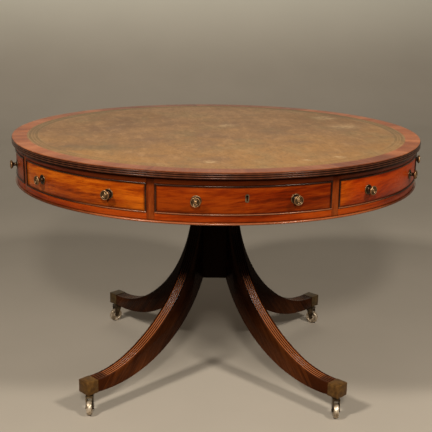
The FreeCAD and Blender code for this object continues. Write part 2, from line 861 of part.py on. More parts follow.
def make_reed_tool():
    """Long cutter that leaves the reeds standing on the upper edge of a leg."""
    foot_top, knee, join, _, sweep_radius, sweep_centre = leg_curve()
    body = doc.addObject("PartDesign::Body", "reed_cutter")
    start = cap_start + d.overrun
    end_level = block_top + d.overrun
    end_x = sweep_centre[0] - across(sweep_radius, end_level - sweep_centre[1])
    spine = new_sketch(body, "reed_path", "XZ_Plane")
    draw(spine, [(start, foot_top), (knee, foot_top, d.foot_radius, 1), (*join, sweep_radius, 1),
                 (end_x, end_level)], closed=False)
    section = new_sketch(body, "reed_section", "YZ_Plane", start)
    half = d.leg_reed_width * LEG_REEDS / 2
    low, high = foot_top - d.leg_reed_depth, foot_top + d.overrun
    bow = bow_radius(d.leg_reed_width, d.leg_reed_depth)
    cusps = [(d.leg_reed_width * i - half, low, bow, 1) for i in range(LEG_REEDS)]
    draw(section, [(-half, high)] + cusps + [(half, low), (half, high)])
    pipe = body.newObject("PartDesign::AdditivePipe", "reed_sweep")
    pipe.Profile = section
    pipe.Spine = spine
    return body


def cap_inside(name, clear):
    """Space inside a castor's cap, or the end of the leg that fills it, on the +X axis."""
    half = d.cap_width / 2 - d.cap_wall - clear
    low = (cap_start if clear is not ZERO else cap_start - d.overrun, -half, d.cap_lift + d.cap_floor)
    return block(name, low, (cap_end - d.cap_wall - clear, half, cap_top - d.cap_wall - clear))


def leg():
    foot_top, knee, join, top, sweep_radius, _ = leg_curve()
    corner = block_corner - d.leg_width / 2
    outline = [
        (d.leg_seat, d.block_bottom), (corner, d.block_bottom, d.under_radius, -1),
        (cap_start, d.cap_lift + d.cap_proud), (cap_start, foot_top),
        (knee, foot_top, d.foot_radius, 1), (*join, sweep_radius, 1),
        (top, block_top), (d.leg_seat, block_top)]
    reeded = cut("leg_reeded", plate("leg_blank", outline, d.leg_width), [make_reed_tool()])
    key = leg_key("leg_key", d.leg_seat + d.overrun)
    joined = fused("leg_joined", [reeded, key, cap_inside("leg_end", d.glue_line)])
    floor = d.cap_lift + d.cap_floor
    room_top = floor + d.collar_gap + d.pin_head_thickness + d.pin_head_room
    room_radius = d.pin_head_radius + d.pin_head_clearance
    room = rod("leg_pin_room", room_radius, floor - d.overrun, room_top, d.castor_spread)
    return cut("leg", joined, [room])


def pedestal_block():
    diamond = [(block_corner, ZERO), (ZERO, block_corner), (-block_corner, ZERO), (ZERO, -block_corner)]
    tenon = rod("block_tenon", d.tenon_radius, block_top, board_under - d.tenon_drop)
    whole = fused("block_whole", [prism("block_body", diamond, d.block_bottom, block_top), tenon])
    half = d.leg_width / 2
    slot = block("leg_slot", (d.leg_seat, -half, d.block_bottom - d.overrun),
                 (block_corner + d.overrun, half, block_top + d.overrun))
    key = leg_key("key_slot", d.leg_seat + d.overrun)
    bore = rod("spindle_bore", d.spindle_radius + d.glue_line, block_top - d.spindle_sink, board_under)
    return cut("block", whole, [around("leg_slots", fused("leg_slot_whole", [slot, key]), len(LEGS)), bore])


def make_pedestal():
    half_pitch = LEG_PITCH / 2
    node(placed("pedestal", [pedestal_block()], d.base_turn + half_pitch), "pedestal_block")
    bore = d.tenon_radius + d.glue_line
    node(turned("bearer_plate", [
        (bore, block_top), (d.bearer_radius - d.bearer_chamfer, block_top),
        (d.bearer_radius, block_top + d.bearer_chamfer), (d.bearer_radius, board_under),
        (bore, board_under)]), "bearer")

    spindle_top = board_top + d.spindle_rise
    node(rod("pivot", d.spindle_radius, block_top - d.spindle_sink, spindle_top), "spindle")
    blank = doc.addObject("Part::Prism", "spindle_nut_blank")
    blank.Polygon = NUT_SIDES
    bind(blank, "Circumradius", d.spindle_nut_radius)
    bind(blank, "Height", d.spindle_nut_height)
    bind(blank, "Placement.Base.z", board_top + d.spindle_nut_gap)
    hole = rod("spindle_nut_bore", d.spindle_radius + d.glue_line, board_under, spindle_top)
    node(cut("retainer", blank, [hole]), "spindle_nut")


# Castors

def castor_cap():
    half = d.cap_width / 2
    shell = block("cap_block", (cap_start, -half, d.cap_lift), (cap_end, half, cap_top))
    bore = rod("cap_bore", d.pin_radius + d.pin_gap, d.cap_lift - d.overrun,
               d.cap_lift + d.cap_floor + d.overrun, d.castor_spread)
    return cut("cap", shell, [cap_inside("cap_hollow", ZERO), bore])


def castor_fork():
    """Fork with its riveted pin on the Z axis, trailing along +X, and the axle."""
    collar_top = d.cap_lift - d.collar_gap
    crown_top = collar_top - d.collar_height
    crown_low = crown_top - d.crown_height
    head_low = d.cap_lift + d.cap_floor + d.collar_gap
    head_top = head_low + d.pin_head_thickness
    inner = d.wheel_width / 2 + d.cheek_gap
    outer = inner + d.cheek_thickness
    horn = d.trail + d.eye_radius
    eye_bow = d.eye_radius * EYE_BOW_SHARE
    cheek_outline = [
        (-d.collar_radius, crown_top), (d.trail - d.eye_radius, d.wheel_radius, eye_bow, -1),
        (horn, d.wheel_radius), (horn, crown_top)]
    cheek = plate("cheek", cheek_outline, d.cheek_thickness)
    middle = (inner + outer) / 2
    pieces = [
        rod("collar", d.collar_radius, crown_low, collar_top),
        rod("swivel_pin", d.pin_radius, crown_low, head_top),
        rod("pin_head", d.pin_head_radius, head_low, head_top),
        block("crown", (-d.collar_radius, -outer, crown_low), (horn, outer, crown_top)),
        placed("left_cheek", [cheek], 0, (ZERO, middle, ZERO)),
        placed("right_cheek", [cheek], 0, (ZERO, -middle, ZERO)),
    ]
    centre = (d.trail, ZERO, d.wheel_radius)
    bore_end = outer + d.overrun
    bore = lying_rod("eye_bore", d.axle_radius + d.axle_gap, "y", -bore_end, bore_end, centre)
    frame = cut("fork_frame", fused("fork_whole", pieces), [bore])
    head_end = outer + d.axle_head_thickness
    pin = lying_rod("axle_pin", d.axle_radius, "y", -head_end, head_end, centre)
    heads = [lying_rod("axle_head_left", d.axle_head_radius, "y", outer, head_end, centre),
             lying_rod("axle_head_right", d.axle_head_radius, "y", -head_end, -outer, centre)]
    return placed("fork", [frame, fused("axle", [pin] + heads)])


def castor_wheel():
    """Crowned wheel with dished sides, in its place in the fork."""
    half = d.wheel_width / 2
    edge = d.wheel_radius - d.wheel_edge_drop
    rim = edge - d.wheel_rim
    web = half - d.wheel_dish
    bore = d.axle_radius + d.axle_gap
    crown = bow_radius(d.wheel_width, d.wheel_edge_drop)
    outline = [
        (bore, -half), (d.hub_radius, -half), (d.hub_radius + d.wheel_dish, -web),
        (rim - d.wheel_dish, -web), (rim, -half), (edge, -half, crown, -1), (edge, half), (rim, half),
        (rim - d.wheel_dish, web),
        (d.hub_radius + d.wheel_dish, web), (d.hub_radius, half), (bore, half)]
    wheel = turned("wheel", outline, plane="XY_Plane")
    return placed("wheel_in_fork", [wheel], 0, (d.trail, ZERO, d.wheel_radius))


def make_legs():
    leg_piece, cap_piece = leg(), castor_cap()
    fork_piece, wheel_piece = castor_fork(), castor_wheel()
    for name, (angle, trail_angle) in LEGS.items():
        turn = d.base_turn + angle
        node(placed(f"leg_{name}_set", [leg_piece], turn), f"leg_{name}")
        node(placed(f"cap_{name}", [cap_piece], turn), f"castor_{name}_cap")
        pivot = (d.castor_spread * cosine(turn), d.castor_spread * sine(turn), ZERO)
        trailing = d.base_turn + trail_angle
        node(placed(f"fork_{name}", [fork_piece], trailing, pivot), f"castor_{name}_fork")
        node(placed(f"wheel_{name}", [wheel_piece], trailing, pivot), f"castor_{name}_wheel")


def check_and_write():
    doc.recompute()
    failed = [item.Name for item in doc.Objects if {"Invalid", "Error"} & set(item.State)]
    if failed:
        raise RuntimeError(f"failed objects: {failed}")
    for item in NODES:
        if item.Shape.isNull() or not item.Shape.isValid() or not item.Shape.Solids:
            raise RuntimeError(f"bad shape: {item.Label}")
    os.makedirs("parts", exist_ok=True)
    for item in NODES:
        solids = item.Shape.Solids
        shape = solids[0] if len(solids) == 1 else Part.makeCompound(solids)
        shape.exportStep(f"parts/{item.Label}.step")
        print(f"{item.Label}: {len(solids)} solids")


make_top()
make_frieze()
make_carcass()
make_drawers()
make_pedestal()
make_legs()
check_and_write()
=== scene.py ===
"""Looks of a round mahogany drum table with a leather top, brass knobs and brass castors.

Metres, +Z up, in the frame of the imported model.
"""
import json
import math

import bpy
from mathutils import Matrix, Vector


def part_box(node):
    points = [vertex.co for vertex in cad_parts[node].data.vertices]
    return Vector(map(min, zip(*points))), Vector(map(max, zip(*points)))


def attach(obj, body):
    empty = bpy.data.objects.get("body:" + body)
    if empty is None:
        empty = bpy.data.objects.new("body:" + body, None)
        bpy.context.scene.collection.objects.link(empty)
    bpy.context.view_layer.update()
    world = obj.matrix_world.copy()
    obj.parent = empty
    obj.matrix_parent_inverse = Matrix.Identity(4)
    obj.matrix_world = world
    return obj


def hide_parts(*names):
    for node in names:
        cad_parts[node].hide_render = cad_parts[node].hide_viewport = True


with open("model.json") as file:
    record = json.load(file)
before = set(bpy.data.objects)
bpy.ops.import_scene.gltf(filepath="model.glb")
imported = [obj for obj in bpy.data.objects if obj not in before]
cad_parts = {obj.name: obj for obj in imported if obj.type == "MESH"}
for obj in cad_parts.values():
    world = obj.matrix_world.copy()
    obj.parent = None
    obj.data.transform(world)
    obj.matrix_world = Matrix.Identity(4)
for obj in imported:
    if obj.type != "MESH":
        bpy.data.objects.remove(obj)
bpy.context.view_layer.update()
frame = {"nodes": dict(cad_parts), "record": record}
NODES = frame["nodes"]
BODY_OF = {node: body for body, nodes in frame["record"]["behaviour"]["bodies"].items() for node in nodes}

MM = 0.001
FULL_TURN = 2 * math.pi

# The table, with its angles in degrees
DRAWERS, PANELS = 4, 8
CORNERS = {"front_left": 225, "front_right": 315, "back_right": 45, "back_left": 135}
BASE_TURN = -7.3
FRIEZE_RADIUS = 0.594
FIELD_BOTTOM, FIELD_TOP = 0.6588, 0.7242
FIELD_SIDE, FIELD_SHADE_WIDTH = 14.5 * MM, 5 * MM
BEAD_TOP, BEAD_QUIRK = 0.637, 3.4 * MM
BAND_RADIUS, BAND_PIECES = 0.58, 16
LEG_SLOPE = 52
REED_WIDTH, REEDS_HALF = 8 * MM, 16 * MM

# Where a finish starts to change and where the change is full, in metres
UNDER_TOP_EDGE = (0.7175, 0.7315)
FRONT_OF_RAIL = (-0.52, -0.3)
EDGE_QUIRKS, EDGE_CRESTS = (0.6033, 0.6046), (0.60455, 0.605)
NOSE_REACH, NOSE_TOP, NOSE_FRONT = (0.5954, 0.5964), (0.658, 0.6595), (-0.53, -0.4)
REDDER_SIDE = (0.2, 0.3)
LEG_SIDES_DARKEN, LEG_TOP_DARKENS = (0.08, 0.28), (0.2, 0.33)
REED_LINES_END, REED_HIGHLIGHTS_END, REED_WAX_ENDS = (0.31, 0.35), (0.33, 0.45), (0.2, 0.4)
REED_HIGHLIGHTS_FADE_BY_CAP = (0.436, 0.452)

WARM_SHEEN, MOULDING_SHEEN, PLAIN_SHEEN = (1.0, 0.42, 0.14), (1.0, 0.72, 0.56), (1.0, 1.0, 1.0)
WAX_ROUGHNESS = 0.22


# Shader maths

class Value:
    """A socket of a material, so that maths on it is written as an expression."""

    def __init__(self, look, socket):
        self.look = look
        self.socket = socket

    def maths(self, operation, *others):
        return self.look.node("ShaderNodeMath", {"operation": operation}, self, *others)

    def __add__(self, other):
        return self.maths("ADD", other)

    __radd__ = __add__

    def __sub__(self, other):
        return self.maths("SUBTRACT", other)

    def __rsub__(self, other):
        return self.look.node("ShaderNodeMath", {"operation": "SUBTRACT"}, other, self)

    def __mul__(self, other):
        return self.maths("MULTIPLY", other)

    __rmul__ = __mul__

    def __truediv__(self, other):
        return self.maths("DIVIDE", other)

    def rises(self, low, high):
        """0 below low, 1 above high, and a smooth step between."""
        settings = {"interpolation_type": "SMOOTHSTEP"}
        return self.look.node("ShaderNodeMapRange", settings, self, low, high, 0.0, 1.0)

    def near(self, middle, width):
        """1 at the middle, falling smoothly to 0 at this distance from it."""
        return 1 - (self - middle).maths("ABSOLUTE").rises(0.0, width)


class Look:
    """One procedural material."""

    def __init__(self, name):
        self.material = bpy.data.materials.new(name)
        self.material.use_nodes = True
        self.tree = self.material.node_tree
        self.shader = self.tree.nodes["Principled BSDF"]

    def node(self, kind, settings, *values, out=0, sockets=None):
        """A node with its settings, its inputs in order or by name, and one of its outputs."""
        made = self.tree.nodes.new(kind)
        for name, setting in settings.items():
            if name == "stops":
                ramp = made.color_ramp
                while len(ramp.elements) < len(setting):
                    ramp.elements.new(0.5)
                for element, (place, colour) in zip(ramp.elements, setting):
                    element.position = place
                    element.color = (*colour, 1.0)
            else:
                setattr(made, name, setting)
        for socket, value in [*enumerate(values), *(sockets or {}).items()]:
            self.feed(made.inputs[socket], value)
        return Value(self, made.outputs[out])

    def feed(self, socket, value):
        if isinstance(value, Value):
            self.tree.links.new(value.socket, socket)
        else:
            socket.default_value = value

    def place(self, turn=0.0, tilt=0.0):
        """Object coordinates x, y and z, turned back about Z and then tilted about Y, in degrees."""
        here = self.node("ShaderNodeTexCoord", {}, out="Object")
        if turn:
            here = self.node("ShaderNodeMapping", {"vector_type": "POINT"}, here,
                             sockets={"Rotation": (0.0, 0.0, math.radians(-turn))})
        if tilt:
            here = self.node("ShaderNodeMapping", {"vector_type": "POINT"}, here,
                             sockets={"Rotation": (0.0, math.radians(tilt), 0.0)})
        return [self.node("ShaderNodeSeparateXYZ", {}, here, out=axis) for axis in "XYZ"]

    def scaled(self, place, scale, shift=0.0):
        """A place with each axis scaled, and then moved along the first."""
        x, y, z = (value * share for value, share in zip(place, scale))
        return self.node("ShaderNodeCombineXYZ", {}, x + shift, y, z)

    def noise(self, *place, scale, shift=0.0, detail=3.0, rough=0.5, swirl=0.0):
        """Noise with about so many marks to the metre along each axis."""
        sockets = {"Vector": self.scaled(place, scale, shift), "Scale": 1.0, "Detail": detail,
                   "Roughness": rough, "Distortion": swirl}
        return self.node("ShaderNodeTexNoise", {}, sockets=sockets)

    def cells(self, *place, scale):
        """Distance to the middle of the nearest of so many cells to the metre."""
        sockets = {"Vector": self.scaled(place, scale), "Scale": 1.0}
        return self.node("ShaderNodeTexVoronoi", {}, sockets=sockets)

    def attribute(self, name):
        return self.node("ShaderNodeAttribute", {"attribute_name": name}, out="Fac")

    def ramp(self, value, places, colours):
        return self.node("ShaderNodeValToRGB", {"stops": list(zip(places, colours))}, value)

    def mix(self, share, first, second, blend="MIX"):
        colours = [c if isinstance(c, Value) else (*c, 1.0) for c in (first, second)]
        settings = {"data_type": "RGBA", "blend_type": blend}
        return self.node("ShaderNodeMix", settings, out=2, sockets={0: share, 6: colours[0], 7: colours[1]})

    def finish(self, colour, rough, height=None, depth=0.0, strength=0.5, metal=0.0, coat=None, gloss=0.5,
               sheen=PLAIN_SHEEN):
        """Feed the shader, and return the finished material."""
        self.feed(self.shader.inputs["Base Color"], colour)
        self.feed(self.shader.inputs["Roughness"], rough)
        self.shader.inputs["Metallic"].default_value = metal
        self.shader.inputs["Specular IOR Level"].default_value = gloss
        self.shader.inputs["Specular Tint"].default_value = (*sheen, 1.0)
        if coat is not None:
            self.feed(self.shader.inputs["Coat Weight"], coat)
            self.shader.inputs["Coat Roughness"].default_value = WAX_ROUGHNESS
        if height is not None:
            sockets = {"Strength": strength, "Distance": depth, "Height": height}
            self.feed(self.shader.inputs["Normal"], self.node("ShaderNodeBump", {}, sockets=sockets))
        return self.material


# Ways of the grain: along it, across it and into the wood

def polar(look):
    """Angle round the drum, distance from its axis, and height, with the seam behind a stile."""
    x, y, z = look.place(turn=180 / PANELS)
    radius = (x * x + y * y).maths("SQRT")
    return y.maths("ARCTAN2", x), radius, z


def round_grain(look):
    """Grain that runs round the drum."""
    angle, radius, z = polar(look)
    return angle * FRIEZE_RADIUS, z, radius


def panel_grain(look):
    """Grain round the drum, with each panel cut from another place in the log."""
    angle, radius, z = polar(look)
    panel = (angle * (PANELS / FULL_TURN)).maths("FLOOR")
    return angle * FRIEZE_RADIUS, z + panel * 0.37, radius + panel * 1.3


def radial_grain(look):
    """Grain that runs outwards, in pieces laid side by side round the top."""
    angle, radius, z = polar(look)
    piece = (angle * (BAND_PIECES / FULL_TURN)).maths("FLOOR")
    return radius + piece * 0.9, angle * BAND_RADIUS + piece * 0.11, z


def upright_grain(look):
    """Grain that runs upwards, square with the pedestal."""
    x, y, z = look.place(turn=BASE_TURN)
    return z, x, y


def leg_grain(turn):
    """Grain that runs down a leg in its own upright plane."""
    def grain(look):
        x, y, z = look.place(turn=turn, tilt=-LEG_SLOPE)
        return x, z, y + turn
    return grain


def board_grain(turn):
    """Grain of flat boards that are laid at this angle."""
    def grain(look):
        x, y, z = look.place(turn=turn)
        return x, y, z + turn
    return grain


# Places of the wood from 0 to 1: painted shade, painted highlights, dirt and wax

def shaded_rail(look):
    """Painted shade on the upper rail under the top's edge, stronger in front, and in the quirk over the base
    bead.
    """
    _, _, z = polar(look)
    _, y, _ = look.place()
    shade = z.rises(*UNDER_TOP_EDGE) * (0.9 - y.rises(*FRONT_OF_RAIL) * 0.4)
    return shade.maths("MAXIMUM", z.near(BEAD_TOP, BEAD_QUIRK) * 0.95)


def edge_quirk_shade(look):
    """Painted shade in the quirks between the reeds of the top's edge."""
    _, radius, _ = polar(look)
    return 1 - radius.rises(*EDGE_QUIRKS)


def edge_crest_highlights(look):
    """Painted highlights along the crests of the reeds of the top's edge."""
    _, radius, _ = polar(look)
    return radius.rises(*EDGE_CRESTS)


def panel_corner_shade(look):
    """Painted shade in the corners of a front, along its beading."""
    angle, _, z = polar(look)
    share = (angle * (PANELS / FULL_TURN)).maths("FRACT")
    side = (0.5 - (share - 0.5).maths("ABSOLUTE")) * (FULL_TURN / PANELS * FRIEZE_RADIUS) - FIELD_SIDE
    level = (FIELD_TOP - z).maths("MINIMUM", z - FIELD_BOTTOM)
    return 1 - side.maths("MINIMUM", level).rises(0.0, FIELD_SHADE_WIDTH)


def front_nose_highlights(look):
    """Painted highlights on the noses of the lower mouldings in front."""
    _, y, _ = look.place()
    _, radius, z = polar(look)
    return radius.rises(*NOSE_REACH) * (1 - z.rises(*NOSE_TOP)) * (1 - y.rises(*NOSE_FRONT))


def redder_panels(look):
    """The panels on one side, cut from a redder plank."""
    x, _, _ = look.place()
    return x.rises(*REDDER_SIDE) * 0.9


def handled_sides(look):
    """The near and far sides of the crossband, where arms rest and darken it."""
    x, y, _ = look.place()
    patches = look.noise(x, y, 0.0, **ARM_PATCHES) - 0.5
    return (patches * 0.5 + y.maths("ABSOLUTE") * 1.6).rises(0.45, 0.95)


def reeded_part(look):
    """1 on the faces that a leg's reeds run along."""
    return look.attribute("reeded")


def reed_crests(look, turn):
    """How far a point of a leg's upper edge stands up on its reed: 0 in a quirk, 1 on a crest."""
    _, aside, _ = look.place(turn=turn)
    return ((aside + REEDS_HALF) * (math.pi / REED_WIDTH)).maths("SINE").maths("ABSOLUTE")


def leg_painted_shade(turn):
    """Painted shade in the quirks between a leg's reeds, on its sides and on its upper end, all but the
    painted highlight lines on the crests.
    """
    def shade_and_grime_places(look):
        quirks = (1 - reed_crests(look, turn).rises(0.3, 0.85)) * reeded_part(look)
        _, _, z = look.place()
        sides = z.rises(*LEG_SIDES_DARKEN) * (1 - reeded_part(look)) * 0.95
        lines = reed_crests(look, turn).rises(0.75, 1.0) * reeded_part(look) * (1 - z.rises(*REED_LINES_END))
        upper_end = z.rises(*LEG_TOP_DARKENS) * (1 - lines) * 0.97
        return quirks.maths("MAXIMUM", sides).maths("MAXIMUM", upper_end)
    return shade_and_grime_places


def reed_crest_highlights(turn):
    """Painted highlights on the crests of the reeds, lower down the leg, fading out by the cap."""
    def highlight_places(look):
        _, _, z = look.place()
        out, _, _ = look.place(turn=turn)
        reach = (1 - z.rises(*REED_HIGHLIGHTS_END)) * (1 - out.rises(*REED_HIGHLIGHTS_FADE_BY_CAP) * 0.85)
        return reed_crests(look, turn).rises(0.7, 1.0) * reeded_part(look) * reach
    return highlight_places


def reed_polish(look):
    """Wax that cloths leave on the reeds, less of it higher up."""
    _, _, z = look.place()
    return reeded_part(look) * (1 - z.rises(*REED_WAX_ENDS) * 0.8) * 0.32


# Wood: marks to the metre along the grain, across it and into the wood, and how they are broken up

SWAY = {"scale": (2.2, 5, 5), "detail": 1.0}
CLOUDS = {"scale": (3.2, 11, 11), "detail": 2.0}
RIBBON = {"scale": (4.5, 105, 60), "swirl": 0.6}
FIBRE = {"scale": (26, 760, 760), "detail": 2.0}
FLECK = {"scale": (17, 140, 60), "detail": 4.0, "rough": 0.62}
STREAKS = {"scale": (7, 80, 40), "shift": 3, "detail": 4.0, "rough": 0.65, "swirl": 0.5}
PORES = {"scale": (60, 1500, 1500), "detail": 1.0}
HANDLED = {"scale": (17, 17, 17), "detail": 4.0, "rough": 0.62}
ARM_PATCHES = {"scale": (6, 6, 1)}
WOOD_STOPS = (0.38, 0.5, 0.62)
WOOD_RELIEF = 0.25 * MM


def wood(name, grain, dark, middle, light, pore, rough=0.3, figure=1.0, wear_and_highlight=0.0, wear_and_highlight_colour=None,
         highlight_places=None, shade_and_grime_places=None, shade_and_grime=0.7, gloss=0.3, sheen=WARM_SHEEN, polish=None, uneven=0.22,
         relief=0.25, plank=None, plank_colour=None):
    """Polished wood: figure in three tones, streaks, pores, worn places, dirt, painted shade, painted
    highlights and an uneven shine.
    """
    look = Look(name)
    along, across, depth = grain(look)
    sway = look.noise(along, across, depth, **SWAY) - 0.5
    bent = across + sway * 0.03 * figure
    clouds, ribbon, fibre, streaks, pores = (
        look.noise(along, bent, depth, **kind) for kind in (CLOUDS, RIBBON, FIBRE, STREAKS, PORES))
    fleck = look.noise(along + across * 0.8, bent - along * 0.12, depth, **FLECK)
    tone = clouds * 0.5 + ribbon * 0.26 + fleck * 0.22 * figure + fibre * 0.14 - (0.05 + 0.02 * figure)
    colour = look.ramp(tone, WOOD_STOPS, (dark, middle, light))
    if plank:
        colour = look.mix(plank(look), colour, plank_colour, blend="MULTIPLY")
    colour = look.mix(streaks.rises(0.55, 0.72) * 0.45, colour, dark)
    open_pores = pores.rises(0.6, 0.72)
    colour = look.mix(open_pores * 0.5, colour, pore)
    handled = look.noise(*look.place(), **HANDLED)
    # Without a mask this lays worn colour in random places; with a mask it lays painted highlights.
    if wear_and_highlight:
        worn = highlight_places(look) * (handled * 0.7 + 0.45) if highlight_places else handled.rises(0.52, 0.78)
        colour = look.mix(worn * wear_and_highlight, colour, wear_and_highlight_colour)
    # Darker pore colour over the masked places: dirt on the crossband's sides, painted shade elsewhere.
    if shade_and_grime_places:
        cover = (handled * 0.5 + 0.7).maths("MINIMUM", 1.0) * shade_and_grime_places(look) * shade_and_grime
        colour = look.mix(cover, colour, pore)
    shine = handled * uneven + fibre * 0.08 + (rough - 0.04 - uneven / 2)
    height = fibre * 0.35 + ribbon * 0.4 - open_pores * 0.5
    return look.finish(colour, shine, height, depth=WOOD_RELIEF, strength=relief, gloss=gloss, sheen=sheen,
                       coat=polish(look) if polish else None)


MOULDED = {"rough": 0.24, "sheen": MOULDING_SHEEN, "uneven": 0.05, "relief": 0.06}
RAIL_PORE = (0.01, 0.0015, 0.0006)

# The drawer fronts are a darker copy of the dummy fronts' mahogany: the difference is painted shade.
SHADED_DRAWER_FRONTS = wood("mahogany_drawer_fronts_painted_shade", panel_grain,
             (0.039, 0.0024, 0.0003), (0.124, 0.0097, 0.0006), (0.218, 0.0275, 0.0012), (0.02, 0.002, 0.001),
             figure=1.9, shade_and_grime_places=panel_corner_shade)
DUMMY = wood("mahogany_dummy_fronts", panel_grain,
             (0.09, 0.009, 0.0006), (0.265, 0.035, 0.0012), (0.44, 0.086, 0.003), (0.025, 0.003, 0.001),
             figure=1.9, shade_and_grime_places=panel_corner_shade, plank=redder_panels, plank_colour=(0.74, 0.32, 0.32))
# Rails and stiles: painted shade under the top's edge and in the quirk over the base bead.
RAIL = wood("mahogany_rails", round_grain,
            (0.068, 0.0048, 0.0006), (0.192, 0.0186, 0.0011), (0.312, 0.041, 0.0027), RAIL_PORE,
            shade_and_grime_places=shaded_rail, shade_and_grime=0.88)
STILE = wood("mahogany_stiles", upright_grain,
             (0.08, 0.009, 0.0013), (0.196, 0.032, 0.004), (0.296, 0.06, 0.0075), RAIL_PORE,
             shade_and_grime_places=shaded_rail, shade_and_grime=0.9)
# The top's edge gets painted shade in its quirks and painted highlights on its reed crests.
EDGE = wood("mahogany_edge", round_grain,
            (0.012, 0.003, 0.0013), (0.03, 0.0072, 0.0026), (0.056, 0.0155, 0.005), (0.004, 0.002, 0.001),
            wear_and_highlight=0.65, wear_and_highlight_colour=(0.17, 0.046, 0.017), highlight_places=edge_crest_highlights, shade_and_grime_places=edge_quirk_shade, shade_and_grime=0.97,
            gloss=0.18, **MOULDED)
# The pale nose of the base bead in front is a painted highlight.
BASE_BEAD = wood("mahogany_base_bead", round_grain,
                 (0.04, 0.006, 0.001), (0.085, 0.016, 0.003), (0.15, 0.034, 0.007), RAIL_PORE,
                 wear_and_highlight=0.4, wear_and_highlight_colour=(0.5, 0.13, 0.036), highlight_places=front_nose_highlights, gloss=0.5, **MOULDED)
BAND = wood("mahogany_crossband", radial_grain,
            (0.182, 0.041, 0.012), (0.308, 0.08, 0.023), (0.44, 0.136, 0.044), (0.082, 0.016, 0.006),
            rough=0.42, wear_and_highlight=0.25, wear_and_highlight_colour=(0.48, 0.2, 0.088), shade_and_grime_places=handled_sides, shade_and_grime=0.6)
# The pale noses of the lower beading in front are painted highlights.
BEADING = wood("mahogany_beading", round_grain,
               (0.006, 0.0016, 0.0006), (0.016, 0.004, 0.0015), (0.035, 0.01, 0.004), (0.004, 0.001, 0.0005),
               wear_and_highlight=0.5, wear_and_highlight_colour=(0.5, 0.16, 0.06), highlight_places=front_nose_highlights, gloss=0.28, **MOULDED)
# The block is near black: its dark stain and painted shade under the drum.
BLOCK = wood("mahogany_block_stain_and_shade", upright_grain,
             (0.0012, 0.0006, 0.0005), (0.0025, 0.001, 0.0007), (0.005, 0.0018, 0.001),
             (0.001, 0.0006, 0.0005), rough=0.5, gloss=0.04)

# Leg tones, dark, middle and light, and the painted highlight colour of the reed crests.
LEG_COLOURS = ((0.037, 0.008, 0.002), (0.106, 0.025, 0.005), (0.204, 0.055, 0.0125), (0.5, 0.14, 0.036))
LEG_PORE = (0.0015, 0.0006, 0.0004)
BACK_LEG_SHADE = 0.4


def leg_wood(corner):
    """Mahogany of one leg: the back pair are darker, as painted shade under the drum."""
    turn = BASE_TURN + CORNERS[corner]
    tone = BACK_LEG_SHADE if corner.startswith("back") else 1.0
    dark, middle, light, crest_highlight = ([tone * part for part in colour] for colour in LEG_COLOURS)
    return wood(f"mahogany_leg_{corner}", leg_grain(turn), dark, middle, light, LEG_PORE, rough=0.27,
                figure=0.4, wear_and_highlight=0.85, wear_and_highlight_colour=crest_highlight, highlight_places=reed_crest_highlights(turn), shade_and_grime_places=leg_painted_shade(turn),
                shade_and_grime=1.0, gloss=0.06, polish=reed_polish, uneven=0.12)


LEG = {corner: leg_wood(corner) for corner in CORNERS}
OAK = [wood(f"oak_lining_{i}", board_grain(90 * i),
            (0.25, 0.14, 0.06), (0.38, 0.23, 0.105), (0.48, 0.31, 0.15), (0.12, 0.065, 0.028),
            rough=0.62, gloss=0.2, sheen=PLAIN_SHEEN) for i in range(2)]
PINE = wood("pine_carcass", board_grain(0),
            (0.3, 0.16, 0.06), (0.44, 0.26, 0.11), (0.54, 0.35, 0.17), (0.2, 0.1, 0.04),
            rough=0.68, gloss=0.2, sheen=PLAIN_SHEEN)


# Leather: marks to the metre along x, y and z, and how they are broken up

LEATHER_CLOUDS = {"scale": (3.1, 3.1, 1), "detail": 4.0, "rough": 0.6, "swirl": 0.5}
LEATHER_PATCHES = {"scale": (9, 9, 1), "shift": 4, "detail": 5.0, "rough": 0.65}
OLIVE_PATCHES = {"scale": (7, 5, 1), "shift": 9, "detail": 4.0, "rough": 0.6}
SPECKLES = {"scale": (120, 55, 1), "detail": 5.0, "rough": 0.75}
LEATHER_STREAKS = {"scale": (36, 17, 1), "detail": 5.0, "rough": 0.72}
SCUFF_MARKS = {"scale": (45, 110, 1), "detail": 5.0, "rough": 0.7, "swirl": 0.8}
LEATHER_CELLS = (620, 620, 620)
LEATHER_RELIEF = 0.22 * MM
LEATHER_STOPS = (0.36, 0.5, 0.64)
LEATHER_TONES = ((0.186, 0.093, 0.042), (0.257, 0.134, 0.057), (0.316, 0.174, 0.082))
GOLDEN_BROWN, OLIVE = (0.305, 0.14, 0.035), (0.218, 0.148, 0.064)
SPECKLE_BROWN, PALE_STREAK, DARK_STREAK = (0.144, 0.07, 0.026), (0.42, 0.23, 0.094), (0.172, 0.091, 0.038)
STAIN_COLOUR, SCUFF_COLOUR = (0.115, 0.08, 0.043), (0.6, 0.4, 0.2)
RIM_COLOUR, TOOLED_COLOUR = (0.23, 0.162, 0.08), (0.057, 0.041, 0.02)
TOOLED_LINES, LINE_WIDTH = (0.5545, 0.551, 0.536, 0.5325), 1.9 * MM
STAMPED_RADIUS, STAMPS, STAMP_REACH = 0.5435, 340, 5 * MM
RIM_STARTS = (0.522, 0.532)
STAIN_PLACE, STAIN_SIZE = (-0.36, -0.26), (0.13, 0.06)
SCUFFS = ((0.177, -0.465, 0.022), (0.267, -0.431, 0.026), (0.4, 0.243, 0.06), (0.415, 0.06, 0.07),
          (-0.075, -0.47, 0.03), (0.05, 0.1, 0.05))


